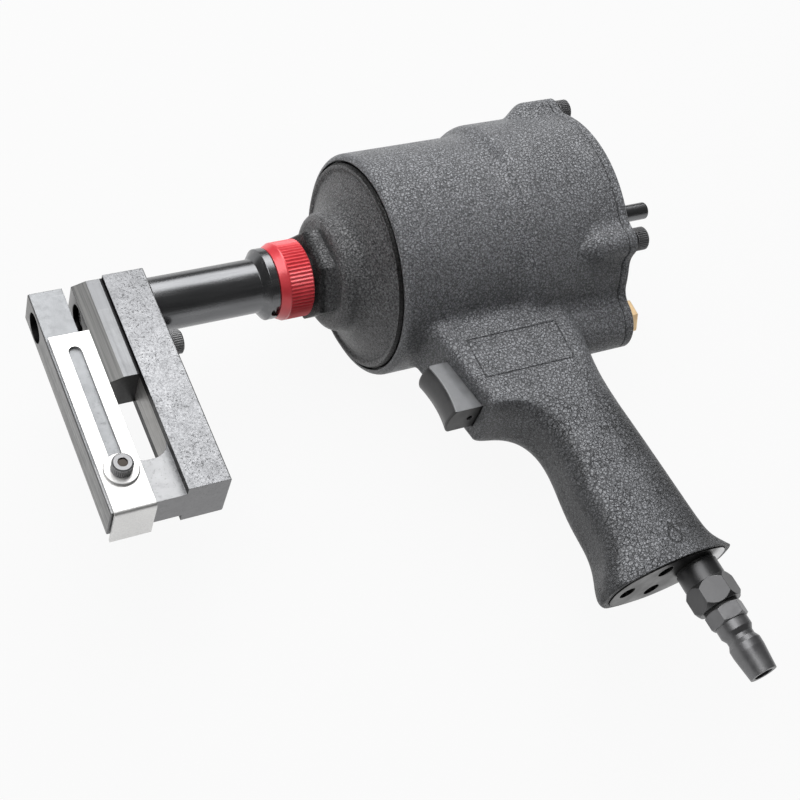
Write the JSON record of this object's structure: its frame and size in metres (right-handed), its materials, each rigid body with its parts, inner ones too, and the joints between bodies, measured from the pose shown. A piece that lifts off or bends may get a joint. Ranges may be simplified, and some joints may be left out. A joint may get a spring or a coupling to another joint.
{
  "type": "pneumatic punch",
  "caption": "Pistol-grip air punch: a sprung piston in a black cylinder drives a punch through sheet held in a swivelling steel C-frame with a sliding edge stop.",
  "frame": {"origin": "on the punch axis at the die's mouth, where the sheet lies against the C-frame's arm", "axes": "+X back along the punch axis towards the tail rod, +Y the tool's own up with the grip towards -Y, +Z the tool's left side, which is up as the tool lies on its right side"},
  "size_m": [0.257, 0.2429, 0.0914],
  "materials": {
    "cast_black": "black crinkle paint on cast aluminium",
    "frame_steel": "hardened steel, grey and mottled",
    "ground_steel": "ground steel",
    "bright_sheet": "bright plated sheet",
    "black_oxide": "black oxide, lightly oiled",
    "red_anodised": "red anodised, straight knurl",
    "brass": "dull brass",
    "bare_aluminium": "bare milled aluminium",
    "phosphate": "dark phosphate",
    "trigger_black": "black anodised, worn side",
    "tool_steel": "turned steel",
    "seal_rubber": "moulded rubber",
    "gasket_fibre": "pressed fibre sheet",
    "felt": "grey felt",
    "gland_plastic": "white acetal"
  },
  "bodies": {
    "body": {"cylinder_housing": "cast_black", "front_cap": "cast_black", "cap_seal": "seal_rubber", "rod_bush": "brass", "rod_seal": "seal_rubber", "stop_bumper": "seal_rubber", "cover_gasket": "gasket_fibre", "rear_cover": "cast_black", "cover_screws": "black_oxide", "cover_washers": "black_oxide", "chamber_plug": "brass", "plug_washer": "gasket_fibre", "tail_bush": "brass", "tail_seal": "seal_rubber", "return_spring": "tool_steel", "valve_gland": "gland_plastic", "valve_sleeve": "brass", "sleeve_seals": "seal_rubber", "valve_spring": "tool_steel", "base_plate": "bare_aluminium", "exhaust_felt": "felt", "inlet_bush": "phosphate", "inlet_seal": "seal_rubber", "inlet_screen": "brass", "plug_seal": "seal_rubber", "air_plug": "phosphate"},
    "head": {"c_frame": "frame_steel", "punch_guide": "ground_steel", "guide_screw": "black_oxide", "guide_washer": "black_oxide", "die_bush": "tool_steel", "stop_washer": "bright_sheet", "stop_screw": "black_oxide", "barrel_tube": "black_oxide"},
    "lock_ring": {"lock_ring": "red_anodised"},
    "stop": {"stop_plate": "bright_sheet"},
    "trigger": {"trigger": "trigger_black", "trigger_pin": "tool_steel", "valve_stem": "tool_steel", "stem_seals": "seal_rubber"},
    "piston": {"piston": "bare_aluminium", "piston_seal": "seal_rubber", "piston_rod": "tool_steel", "piston_nut": "tool_steel", "tail_rod": "tool_steel", "punch": "tool_steel", "punch_lock_nut": "tool_steel"}
  },
  "joints": [
    {"name": "trigger_pull", "type": "slide", "parent": "body", "child": "trigger", "axis": [1, 0, 0], "range_m": [0, 0.004], "stiffness_N_per_m": 800, "springref_m": -0.006, "deforming": ["valve_spring"]},
    {"name": "piston_stroke", "type": "slide", "parent": "body", "child": "piston", "axis": [-1, 0, 0], "range_m": [0, 0.009], "stiffness_N_per_m": 4000, "springref_m": -0.015, "deforming": ["return_spring"]},
    {"name": "head_swivel", "type": "hinge", "parent": "body", "child": "head", "pos_m": [0.05, 0, 0], "axis": [1, 0, 0], "continuous": true},
    {"name": "lock_ring_turn", "type": "hinge", "parent": "head", "child": "lock_ring", "pos_m": [0.08, 0, 0], "axis": [1, 0, 0], "range_deg": [0, 180]},
    {"name": "edge_stop_slide", "type": "slide", "parent": "head", "child": "stop", "axis": [0, -1, 0], "range_m": [0, 0.048]}
  ]
}
